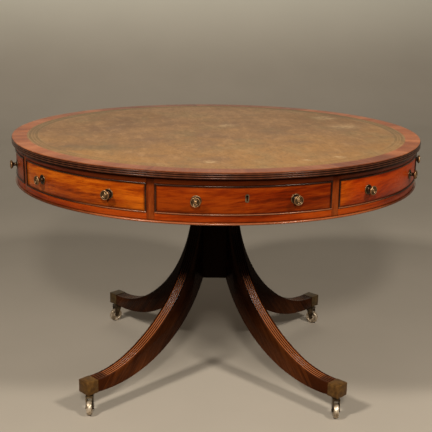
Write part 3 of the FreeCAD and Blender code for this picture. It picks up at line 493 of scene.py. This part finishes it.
def leather():
    """Old leather: mottled, speckled, stained and scuffed, with a tooled border."""
    look = Look("tooled_leather")
    x, y, z = look.place()
    angle, radius, _ = polar(look)
    clouds, patches, olive, speckles, streaks, marks = (
        look.noise(x, y, z, **kind) for kind in (LEATHER_CLOUDS, LEATHER_PATCHES, OLIVE_PATCHES, SPECKLES,
                                                 LEATHER_STREAKS, SCUFF_MARKS))
    colour = look.ramp(clouds * 0.6 + patches * 0.4, LEATHER_STOPS, LEATHER_TONES)
    golden = (clouds * 1.3 + patches * 0.5 - y * 0.6).rises(0.8, 1.3)
    colour = look.mix(golden * 0.65, colour, GOLDEN_BROWN)
    colour = look.mix(olive.rises(0.5, 0.68) * 0.4, colour, OLIVE)
    colour = look.mix(speckles.rises(0.48, 0.62) * 0.35, colour, SPECKLE_BROWN)
    colour = look.mix(streaks.rises(0.5, 0.66) * 0.35, colour, PALE_STREAK)
    colour = look.mix((1 - streaks.rises(0.36, 0.48)) * 0.35, colour, DARK_STREAK)
    stain_x, stain_y = (x - STAIN_PLACE[0]) / STAIN_SIZE[0], (y - STAIN_PLACE[1]) / STAIN_SIZE[1]
    stain = 1 - (stain_x * stain_x + stain_y * stain_y + (patches - 0.5) * 3).rises(0.0, 1.1)
    colour = look.mix(stain * 0.5, colour, STAIN_COLOUR)
    scuffed = marks.rises(0.66, 0.76) * 0.5
    for place_x, place_y, reach in SCUFFS:
        off_x, off_y = x - place_x, y - place_y
        near = 1 - (off_x * off_x + off_y * off_y).maths("SQRT").rises(0.0, reach)
        scuffed = scuffed.maths("MAXIMUM", near * marks.rises(0.42, 0.6))
    colour = look.mix(scuffed * 0.6, colour, SCUFF_COLOUR)
    kept = (patches * 1.4 + y * 0.8).rises(0.35, 0.85) * 0.75 + 0.25
    colour = look.mix(radius.rises(*RIM_STARTS) * kept * 0.4, colour, RIM_COLOUR)
    first, *others = (radius.near(line, LINE_WIDTH) for line in TOOLED_LINES)
    lines = sum(others, first)
    wave = (angle * STAMPS).maths("SINE") * 0.5 + 0.5
    stamps = wave.rises(0.4, 0.7) * radius.near(STAMPED_RADIUS, STAMP_REACH).rises(0.2, 0.6)
    pressed = (lines + stamps * 0.8).maths("MINIMUM", 1.0)
    colour = look.mix(pressed * kept * 0.7, colour, TOOLED_COLOUR)
    grain = look.cells(x, y, z, scale=LEATHER_CELLS)
    rough = patches * 0.25 + 0.42 + pressed * 0.1
    height = grain * 0.5 + patches * 0.9 - pressed * 0.8
    return look.finish(colour, rough, height, depth=LEATHER_RELIEF, strength=0.45, gloss=0.08)


# Metal: marks to the metre along x, y and z, and how they are broken up

PATINA = {"scale": (70, 70, 70), "detail": 5.0, "rough": 0.65}
SPOTS = {"scale": (330, 330, 330)}
SCRATCHES = {"scale": (900, 900, 900), "detail": 2.0}
METAL_STOPS = (0.36, 0.52, 0.68)
METAL_RELIEF = 0.12 * MM


def brass(name, dark, middle, light, rough, tarnish=0.5, ring=None, metal=0.85, gloss=0.5):
    """Old metal with patina, spots and fine scratches, and worn bright where the ring attribute says."""
    look = Look(name)
    here = look.place()
    patina, spots, scratches = (look.noise(*here, **kind) for kind in (PATINA, SPOTS, SCRATCHES))
    colour = look.ramp(patina, METAL_STOPS, (dark, middle, light))
    tarnished = spots.rises(0.56, 0.7)
    colour = look.mix(tarnished * tarnish, colour, dark)
    if ring:
        colour = look.mix(look.attribute(ring), look.mix(0.92, colour, dark), look.mix(0.6, colour, light))
    shine = patina * 0.3 + tarnished * 0.12 + (rough - 0.15)
    return look.finish(colour, shine, scratches * 0.4 + patina, depth=METAL_RELIEF, strength=0.3,
                       metal=metal, gloss=gloss)


DULL_CAP = {"rough": 0.5, "tarnish": 0.3, "metal": 0.12, "gloss": 0.2}

KNOB_BRASS = brass("knob_antique_brass", (0.012, 0.0055, 0.0018), (0.09, 0.038, 0.011), (0.4, 0.22, 0.09),
                   rough=0.34, tarnish=0.4, ring="worn", metal=0.8, gloss=0.4)
LOCK_BRASS = brass("lock_plate_brass", (0.03, 0.017, 0.006), (0.1, 0.06, 0.026), (0.24, 0.16, 0.08),
                   rough=0.4, metal=0.6)
CAP_BRASS = brass("castor_cap_brass", (0.057, 0.023, 0.004), (0.096, 0.04, 0.0071), (0.158, 0.074, 0.0152),
                  **DULL_CAP)
# The back castors' caps are darker than the front ones: painted shade under the drum.
SHADED_BACK_CAP_BRASS = brass("back_castor_cap_brass_painted_shade", (0.04, 0.022, 0.006), (0.07, 0.038, 0.012),
                       (0.11, 0.062, 0.02), **DULL_CAP)
FORK_BRASS = brass("castor_fork_brass", (0.02, 0.012, 0.006), (0.06, 0.036, 0.016), (0.2, 0.13, 0.06),
                   rough=0.42, metal=0.7)
WHEEL_BRASS = brass("castor_wheel_brass", (0.16, 0.105, 0.055), (0.48, 0.36, 0.23), (0.68, 0.55, 0.4),
                    rough=0.36, tarnish=0.25, metal=0.6)
IRON = brass("dark_iron", (0.02, 0.018, 0.017), (0.06, 0.055, 0.052), (0.11, 0.1, 0.095), rough=0.5)


# Modelling

MERGE_DISTANCE, SOFTENING_STEPS = 0.002 * MM, 2
FLAT_ANGLE, SHARP_ANGLE = math.radians(0.2), math.radians(35)
SOFT_EDGES_SMOOTH, TURNED_SMOOTH, LEATHER_SMOOTH = (math.radians(a) for a in (40, 50, 30))
REEDS_MARGIN, REEDS_FACE_UP, LEATHER_FACE_UP = 0.2 * MM, 0.05, 0.9


def only(piece):
    """Make this the one piece that is selected and active."""
    bpy.ops.object.select_all(action="DESELECT")
    piece.select_set(True)
    bpy.context.view_layer.objects.active = piece


def adopt(piece, node, look):
    """The piece stands for a node: it rides on the node's body and takes its finish."""
    piece.data.materials.clear()
    piece.data.materials.append(look)
    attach(piece, BODY_OF[node])
    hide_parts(node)


def softened(node, look, width):
    """Copy of a node with the sharpness taken off its edges."""
    piece = bpy.data.objects.new(f"{node}_softened", NODES[node].data.copy())
    bpy.context.scene.collection.objects.link(piece)
    only(piece)
    bpy.ops.mesh.customdata_custom_splitnormals_clear()
    bpy.ops.object.mode_set(mode="EDIT")
    bpy.ops.mesh.select_mode(type="EDGE")
    bpy.ops.mesh.select_all(action="SELECT")
    bpy.ops.mesh.remove_doubles(threshold=MERGE_DISTANCE)
    bpy.ops.mesh.dissolve_limited(angle_limit=FLAT_ANGLE)
    bpy.ops.mesh.select_all(action="DESELECT")
    bpy.ops.mesh.edges_select_sharp(sharpness=SHARP_ANGLE)
    bpy.ops.mesh.bevel(offset=width, segments=SOFTENING_STEPS, affect="EDGES", clamp_overlap=True)
    bpy.ops.object.mode_set(mode="OBJECT")
    bpy.ops.object.shade_smooth_by_angle(angle=SOFT_EDGES_SMOOTH)
    adopt(piece, node, look)
    return piece


def mark_reeds(piece, turn):
    """Mark the faces of a leg that the reeds run along."""
    back = Matrix.Rotation(math.radians(-turn), 3, "Z")
    reeded = piece.data.attributes.new("reeded", "FLOAT", "FACE")
    for face, mark in zip(piece.data.polygons, reeded.data):
        aside = abs((back @ face.center).y)
        mark.value = float(aside < REEDS_HALF + REEDS_MARGIN and face.normal.z > REEDS_FACE_UP)


def dressed(node, look):
    """A node that keeps its own shape and gets a better finish."""
    NODES[node].data.materials[0] = look


# Knobs: (height above the front, radius, how worn and bright) in millimetres, from the rose to the face

KNOB_TURNING = (
    (1.0, 13.0, 0.1), (1.6, 12.7, 0.6), (2.0, 12.0, 0.45), (2.2, 10.6, 0.0), (2.5, 9.2, 0.0), (2.7, 7.6, 0.0),
    (3.4, 6.2, 0.0), (4.5, 5.0, 0.1), (6.5, 4.6, 0.15), (9.0, 4.6, 0.15), (11.0, 5.0, 0.1), (12.2, 6.6, 0.2),
    (13.4, 9.0, 0.5), (14.8, 11.0, 0.7), (16.2, 12.0, 0.9), (17.0, 12.2, 1.0), (18.2, 12.2, 1.0),
    (19.0, 11.9, 1.0), (19.5, 11.2, 1.0), (19.5, 10.4, 0.9), (19.0, 9.9, 0.4), (18.0, 9.5, 0.0),
    (17.5, 8.8, 0.0), (17.5, 8.1, 0.1), (18.2, 7.6, 0.8), (18.4, 7.1, 0.9), (18.0, 6.6, 0.5),
    (17.4, 6.0, 0.0), (17.3, 5.3, 0.0), (17.9, 4.7, 0.3), (18.6, 3.8, 0.8), (19.0, 2.3, 1.0),
    (19.1, 0.7, 1.0))
STEM_TURNING = ((2.0, 2.5, 0.4), (2.0, 5.3, 0.4), (2.4, 5.5, 0.7), (5.6, 5.5, 0.7), (6.0, 5.3, 0.4))
KNOB_START, STEM_START = 13.0, 2.5
KNOB_SIDES, STEM_SIDES = 48, 24
START_WEAR = 0.2
FRONT_THICKNESS, STEM_LENGTH = 24.0, 6.1
KNOB_LEVEL = sum(corner.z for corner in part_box("dummy_knobs")) / 2
KNOB_ANGLE, FRONT_STEP, FIRST_DRAWER, FIRST_DUMMY = 11.7, 90, -90, 45


def turning(name, start_radius, steps, sides):
    """A turned piece on +Z: a disc drawn out step by step, with its wear kept on its points."""
    bpy.ops.object.select_all(action="DESELECT")
    bpy.ops.mesh.primitive_circle_add(vertices=sides, radius=start_radius * MM, fill_type="NGON")
    piece = bpy.context.object
    piece.name = name
    bpy.ops.object.mode_set(mode="EDIT")
    bpy.ops.mesh.select_mode(type="FACE")
    bpy.ops.mesh.select_all(action="SELECT")
    level, radius = 0.0, start_radius
    for height, wide, _ in steps:
        bpy.ops.mesh.extrude_region_move(TRANSFORM_OT_translate={"value": (0, 0, (height - level) * MM)})
        share = wide / radius
        bpy.ops.transform.resize(value=(share, share, 1), center_override=(0, 0, height * MM))
        level, radius = height, wide
    bpy.ops.object.mode_set(mode="OBJECT")
    worn = piece.data.attributes.new("worn", "FLOAT", "POINT")
    shares = [START_WEAR] + [share for _, _, share in steps]
    for index, item in enumerate(worn.data):
        item.value = shares[min(index // sides, len(shares) - 1)]
    bpy.ops.object.shade_smooth_by_angle(angle=TURNED_SMOOTH)
    return piece


def copy_of(piece, name, place):
    """A copy with its own mesh, put in its place."""
    made = bpy.data.objects.new(name, piece.data.copy())
    made.data.transform(place)
    bpy.context.scene.collection.objects.link(made)
    return made


def joined(pieces, name):
    """One piece made of several."""
    bpy.ops.object.select_all(action="DESELECT")
    for piece in pieces:
        piece.select_set(True)
    bpy.context.view_layer.objects.active = pieces[0]
    bpy.ops.object.join()
    pieces[0].name = name
    return pieces[0]


def make_knobs():
    """Turned knobs with their stems, two to a front."""
    head = turning("knob_model", KNOB_START, KNOB_TURNING, KNOB_SIDES)
    stem = turning("stem_model", STEM_START, STEM_TURNING, STEM_SIDES)
    outwards = Matrix.Rotation(math.radians(90), 4, "Y")
    on_front = Matrix.Translation((FRIEZE_RADIUS, 0, KNOB_LEVEL))
    behind_front = Matrix.Translation((FRIEZE_RADIUS - (FRONT_THICKNESS + STEM_LENGTH) * MM, 0, KNOB_LEVEL))

    def pair(angle, name):
        made = []
        for side in (-KNOB_ANGLE, KNOB_ANGLE):
            turn = Matrix.Rotation(math.radians(angle + side), 4, "Z")
            made.append(copy_of(head, f"{name}_{side}_head", turn @ on_front @ outwards))
            made.append(copy_of(stem, f"{name}_{side}_stem", turn @ behind_front @ outwards))
        return made

    for i in range(DRAWERS):
        pieces = pair(FIRST_DRAWER + FRONT_STEP * i, f"drawer_{i + 1}_knob")
        adopt(joined(pieces, f"drawer_{i + 1}_knobs_turned"), f"drawer_{i + 1}_knobs", KNOB_BRASS)
    dummies = [piece for i in range(DRAWERS)
               for piece in pair(FIRST_DUMMY + FRONT_STEP * i, f"dummy_{i}_knob")]
    adopt(joined(dummies, "dummy_knobs_turned"), "dummy_knobs", KNOB_BRASS)
    bpy.data.objects.remove(head)
    bpy.data.objects.remove(stem)


# Leather: width and rise of each ring of a pressed line, in millimetres, from the outer edge inwards

LINE_RINGS = ((0.5, -0.35), (0.7, 0.0), (0.5, 0.35))
LINE_HALF = 0.85 * MM
LEATHER_SIDES = 256
ROUNDED_WIDTH, ROUNDED_RISE = 0.9 * MM, 0.5 * MM
FIELD_RINGS = 6


def make_leather():
    """Leather with a rounded rim and pressed lines, laid in its recess."""
    low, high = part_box("leather")
    radius = high.x
    bpy.ops.object.select_all(action="DESELECT")
    bpy.ops.mesh.primitive_cylinder_add(vertices=LEATHER_SIDES, radius=radius,
                                        depth=high.z - low.z - ROUNDED_RISE,
                                        location=(0, 0, (high.z + low.z - ROUNDED_RISE) / 2))
    piece = bpy.context.object
    piece.name = "leather_tooled"
    bpy.ops.object.transform_apply(location=True, rotation=True, scale=True)
    for face in piece.data.polygons:
        face.select = face.normal.z > LEATHER_FACE_UP
    bpy.ops.object.mode_set(mode="EDIT")
    bpy.ops.mesh.select_mode(type="FACE")
    bpy.ops.mesh.inset(thickness=ROUNDED_WIDTH, depth=ROUNDED_RISE)
    reached = radius - ROUNDED_WIDTH
    for line in TOOLED_LINES:
        start = line + LINE_HALF
        bpy.ops.mesh.inset(thickness=reached - start, depth=0)
        reached = start
        for width, rise in LINE_RINGS:
            bpy.ops.mesh.inset(thickness=width * MM, depth=rise * MM)
            reached -= width * MM
    for _ in range(FIELD_RINGS):
        bpy.ops.mesh.inset(thickness=reached / (FIELD_RINGS + 1), depth=0)
    bpy.ops.object.mode_set(mode="OBJECT")
    bpy.ops.object.shade_smooth_by_angle(angle=LEATHER_SMOOTH)
    adopt(piece, "leather", leather())


# Dressing of each node

RAIL_SOFTNESS, FRONT_SOFTNESS, LEG_SOFTNESS = 0.5 * MM, 0.4 * MM, 0.25 * MM
BLOCK_SOFTNESS, CAP_SOFTNESS = 1.5 * MM, 1.0 * MM


def dress_table():
    """Give every node its finish, and a softer or finer shape where it shows."""
    make_leather()
    make_knobs()
    dressed("crossband", BAND)
    dressed("reeded_edge", EDGE)
    softened("upper_rail", RAIL, RAIL_SOFTNESS)
    softened("lower_rail", RAIL, RAIL_SOFTNESS)
    softened("stiles", STILE, RAIL_SOFTNESS)
    dressed("base_bead", BASE_BEAD)
    softened("dummy_fronts", DUMMY, FRONT_SOFTNESS)
    dressed("dummy_beading", BEADING)
    for node in ("top_board", "drum_bottom", "ribs", "drawer_guides", "drawer_stops"):
        dressed(node, PINE)
    for node in ("top_screws", "spindle", "spindle_nut"):
        dressed(node, IRON)
    for i in range(DRAWERS):
        name = f"drawer_{i + 1}"
        softened(f"{name}_front", SHADED_DRAWER_FRONTS, FRONT_SOFTNESS)
        dressed(f"{name}_beading", BEADING)
        dressed(f"{name}_box", OAK[(i + 1) % 2])
        dressed(f"{name}_lock", LOCK_BRASS)
        dressed(f"{name}_lock_bolt", LOCK_BRASS)
    softened("pedestal_block", BLOCK, BLOCK_SOFTNESS)
    dressed("bearer", BLOCK)
    for corner in CORNERS:
        leg = softened(f"leg_{corner}", LEG[corner], LEG_SOFTNESS)
        mark_reeds(leg, BASE_TURN + CORNERS[corner])
        cap_brass = SHADED_BACK_CAP_BRASS if corner.startswith("back") else CAP_BRASS
        softened(f"castor_{corner}_cap", cap_brass, CAP_SOFTNESS)
        dressed(f"castor_{corner}_fork", FORK_BRASS)
        dressed(f"castor_{corner}_wheel", WHEEL_BRASS)


# Floor, light and camera

FLOOR_SIZE, WALL_HEIGHT = 14, 6
SWEEP_RADIUS, SWEEP_STEPS = 2.5, 24
PAPER_MOTTLE = {"scale": (2, 2, 2)}
PAPER_STOPS, PAPER_TONES = (0.3, 0.7), ((0.495, 0.41, 0.304), (0.53, 0.438, 0.326))
PAPER_SHADE_BEHIND, PAPER_WALL, PAPER_BOUNCE = (0.21, 0.175, 0.13), (0.68, 0.626, 0.48), (0.14, 0.12, 0.095)
SHADE_BEHIND_TABLE, UP_THE_WALL = (0.3, 2.2), (0.3, 1.8)


def paper():
    """Pale studio paper with painted shade on the floor behind the table, that bounces less light than it
    shows.
    """
    look = Look("studio_paper")
    x, y, z = look.place()
    mottle = look.noise(x, y, z, **PAPER_MOTTLE)
    colour = look.ramp(mottle, PAPER_STOPS, PAPER_TONES)
    wall = z.rises(*UP_THE_WALL)
    # Painted shade on the floor behind the table.
    colour = look.mix(y.rises(*SHADE_BEHIND_TABLE) * (1 - wall) * 0.5, colour, PAPER_SHADE_BEHIND)
    colour = look.mix(wall, colour, PAPER_WALL)
    seen, mirrored, through = (look.node("ShaderNodeLightPath", {}, out=f"Is {ray} Ray")
                               for ray in ("Camera", "Glossy", "Transmission"))
    shown = seen.maths("MAXIMUM", mirrored).maths("MAXIMUM", through)
    return look.finish(look.mix(shown, PAPER_BOUNCE, colour), 0.9, gloss=0.1)


def make_stage():
    """Floor with its back edge drawn up into a wall, and a round sweep between them."""
    bpy.ops.object.select_all(action="DESELECT")
    bpy.ops.mesh.primitive_plane_add(size=FLOOR_SIZE, location=(0, 0, 0))
    floor = bpy.context.object
    floor.name = "studio_floor"
    for vertex in floor.data.vertices:
        vertex.select = vertex.co.y > 0
    for edge in floor.data.edges:
        edge.select = all(floor.data.vertices[v].co.y > 0 for v in edge.vertices)
    bpy.ops.object.mode_set(mode="EDIT")
    bpy.ops.mesh.select_mode(type="EDGE")
    bpy.ops.mesh.extrude_region_move(TRANSFORM_OT_translate={"value": (0, 0, WALL_HEIGHT)})
    bpy.ops.object.mode_set(mode="OBJECT")
    for edge in floor.data.edges:
        ends = [floor.data.vertices[v].co for v in edge.vertices]
        edge.select = all(end.y > 0 and end.z < 1 for end in ends)
    bpy.ops.object.mode_set(mode="EDIT")
    bpy.ops.mesh.bevel(offset=SWEEP_RADIUS, segments=SWEEP_STEPS, affect="EDGES")
    bpy.ops.object.mode_set(mode="OBJECT")
    bpy.ops.object.shade_smooth()
    floor.data.materials.append(paper())


# Lamps: name, place, size, power in watts, and what the lamp is aimed at
ON_TABLE, ON_WALL = (0, 0, 0.5), (0, 6.4, 2.4)
LAMPS = (
    ("left_softbox", (-2.47, -1.92, 3.2), (0.45, 0.45), 108, ON_TABLE),
    ("right_softbox", (1.92, -2.47, 3.2), (0.45, 0.45), 106, ON_TABLE),
    ("front_softbox", (-0.44, -3.47, 2.55), (0.35, 0.35), 98, ON_TABLE),
    ("back_softbox", (0.4, 3.0, 3.0), (2.4, 1.2), 8, ON_TABLE),
    ("backdrop_strip", (0, 4.2, 4.6), (6.0, 1.2), 111, ON_WALL),
)
AIR_COLOUR, AIR_STRENGTH = (1.0, 0.98, 0.95, 1.0), 0.04


def make_lights():
    """The lamps, and a little light from the air."""
    for name, place, size, power, aim in LAMPS:
        lamp = bpy.data.lights.new(name, "AREA")
        lamp.shape = "RECTANGLE"
        lamp.size, lamp.size_y = size
        lamp.energy = power
        item = bpy.data.objects.new(name, lamp)
        item.location = place
        item.rotation_euler = (Vector(aim) - Vector(place)).to_track_quat("-Z", "Y").to_euler()
        bpy.context.scene.collection.objects.link(item)
    world = bpy.data.worlds.new("studio_air")
    world.use_nodes = True
    world.node_tree.nodes["Background"].inputs["Color"].default_value = AIR_COLOUR
    world.node_tree.nodes["Background"].inputs["Strength"].default_value = AIR_STRENGTH
    bpy.context.scene.world = world


CAMERA_PLACE = (0.0, -2.491, 1.169)
CAMERA_PAN, CAMERA_PITCH, CAMERA_ROLL = 0.06, 15.174, 0.744
FOCAL_PIXELS, FRAME_PIXELS, SENSOR = 826.9, 432, 36.0


def make_camera():
    """Camera placed in the pedestal's frame, then turned with the pedestal."""
    pan, pitch, roll = (math.radians(a) for a in (CAMERA_PAN, CAMERA_PITCH, CAMERA_ROLL))
    ahead = Vector((math.sin(pan) * math.cos(pitch), math.cos(pan) * math.cos(pitch), -math.sin(pitch)))
    right = Vector((math.cos(pan), -math.sin(pan), 0))
    up = right.cross(ahead)
    level_right = right * math.cos(roll) + up * math.sin(roll)
    level_up = up * math.cos(roll) - right * math.sin(roll)
    camera = bpy.data.objects.new("photo_camera", bpy.data.cameras.new("photo_camera"))
    camera.data.lens = FOCAL_PIXELS / FRAME_PIXELS * SENSOR
    camera.data.sensor_width = SENSOR
    axes = Matrix((level_right, level_up, -ahead)).transposed().to_4x4()
    turn = Matrix.Rotation(math.radians(BASE_TURN), 4, "Z")
    camera.matrix_world = turn @ Matrix.Translation(CAMERA_PLACE) @ axes
    bpy.context.scene.collection.objects.link(camera)
    bpy.context.scene.camera = camera


dress_table()
make_stage()
make_lights()
make_camera()
bpy.context.scene.view_settings.view_transform = "Standard"
